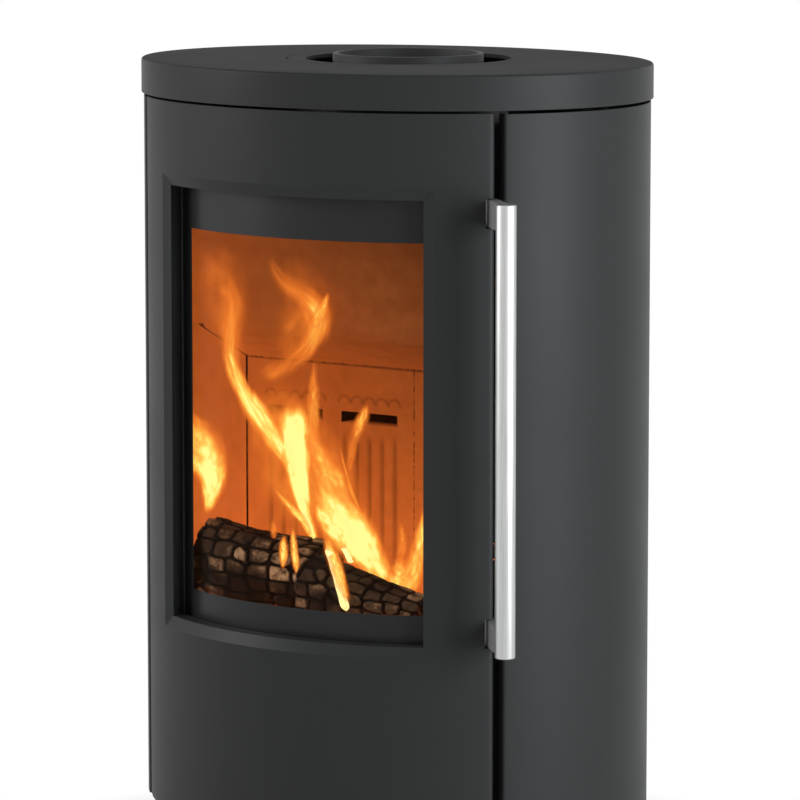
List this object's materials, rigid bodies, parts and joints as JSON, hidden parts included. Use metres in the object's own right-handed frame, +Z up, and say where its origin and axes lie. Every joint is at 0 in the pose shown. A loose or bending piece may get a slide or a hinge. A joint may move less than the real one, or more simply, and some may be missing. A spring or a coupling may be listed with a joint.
{
  "type": "oval wood stove",
  "caption": "Free-standing oval wood stove with a tall curved glazed door, upright round bar handle, flat rimmed top, top flue collar and recessed plinth.",
  "frame": {"origin": "on the floor, under the centre of the oval plan", "axes": "+Z up, the door faces -Y, +X to the right of someone facing the door from inside the room looking along +Y"},
  "size_m": [0.5046, 0.4126, 0.7951],
  "materials": {
    "black_paint": "satin heat-resistant black-grey paint",
    "inner_steel": "matt black painted sheet steel",
    "brushed_bar": "brushed stainless steel",
    "arm_grey": "dark grey satin coated steel",
    "cast_iron": "fine sand-cast, painted black",
    "firebrick": "heat-tinted vermiculite board",
    "rope_seal": "braided glass-fibre rope",
    "stove_glass": "clear ceramic glass with a black printed border",
    "charred_wood": "charred, checked log with glowing cracks",
    "embers": "glowing embers"
  },
  "bodies": {
    "stove": {"plinth_ring": "black_paint", "base_plate": "black_paint", "side_panel_left": "black_paint", "side_panel_right": "black_paint", "back_panel": "black_paint", "panel_hoop": "inner_steel", "top_plate": "black_paint", "top_insert": "black_paint", "top_support_left": "inner_steel", "top_support_right": "inner_steel", "flue_collar": "cast_iron", "collar_bolt_1": "inner_steel", "collar_bolt_2": "inner_steel", "collar_bolt_3": "inner_steel", "smoke_box_top": "inner_steel", "firebox_front": "inner_steel", "firebox_wall_left": "inner_steel", "firebox_wall_right": "inner_steel", "firebox_back": "inner_steel", "firebox_floor": "inner_steel", "hearth_brick": "firebrick", "grate": "cast_iron", "brick_left": "firebrick", "brick_right": "firebrick", "back_plate_left": "firebrick", "back_plate_right": "firebrick", "baffle_lower": "firebrick", "baffle_upper": "firebrick", "airwash_plate": "inner_steel", "air_box": "inner_steel", "rear_air_duct": "inner_steel", "ash_shelf": "inner_steel", "ash_pan": "inner_steel", "damper_channel": "inner_steel", "hinge_bracket_upper": "inner_steel", "hinge_pin_upper": "inner_steel", "hinge_pin_lower": "inner_steel", "latch_keeper": "inner_steel", "ember_bed": "embers", "log_back": "charred_wood", "log_front": "charred_wood"},
    "door": {"door_panel": "black_paint", "door_inner_frame": "inner_steel", "glass_pane": "stove_glass", "glass_seal": "rope_seal", "glass_clip_top": "inner_steel", "glass_clip_bottom": "inner_steel", "clip_screw_top": "inner_steel", "clip_screw_bottom": "inner_steel", "door_seal": "rope_seal", "latch_bearing_upper": "inner_steel", "latch_bearing_lower": "inner_steel"},
    "handle": {"latch_shaft": "inner_steel", "handle_arm_upper": "arm_grey", "handle_arm_lower": "arm_grey", "handle_bar": "brushed_bar"},
    "air_control": {"damper_plate": "inner_steel", "air_lever": "inner_steel", "air_knob": "brushed_bar"}
  },
  "joints": [
    {"name": "door_swing", "type": "hinge", "parent": "stove", "child": "door", "pos_m": [-0.17926, -0.12782, 0.42], "axis": [0, 0, -1], "range_deg": [0, 110]},
    {"name": "handle_pull", "type": "hinge", "parent": "door", "child": "handle", "pos_m": [0.17572, -0.12852, 0.476], "axis": [0, 0, -1], "range_deg": [0, 10]},
    {"name": "air_slide", "type": "slide", "parent": "stove", "child": "air_control", "axis": [1, 0, 0], "range_m": [0, 0.05]}
  ]
}
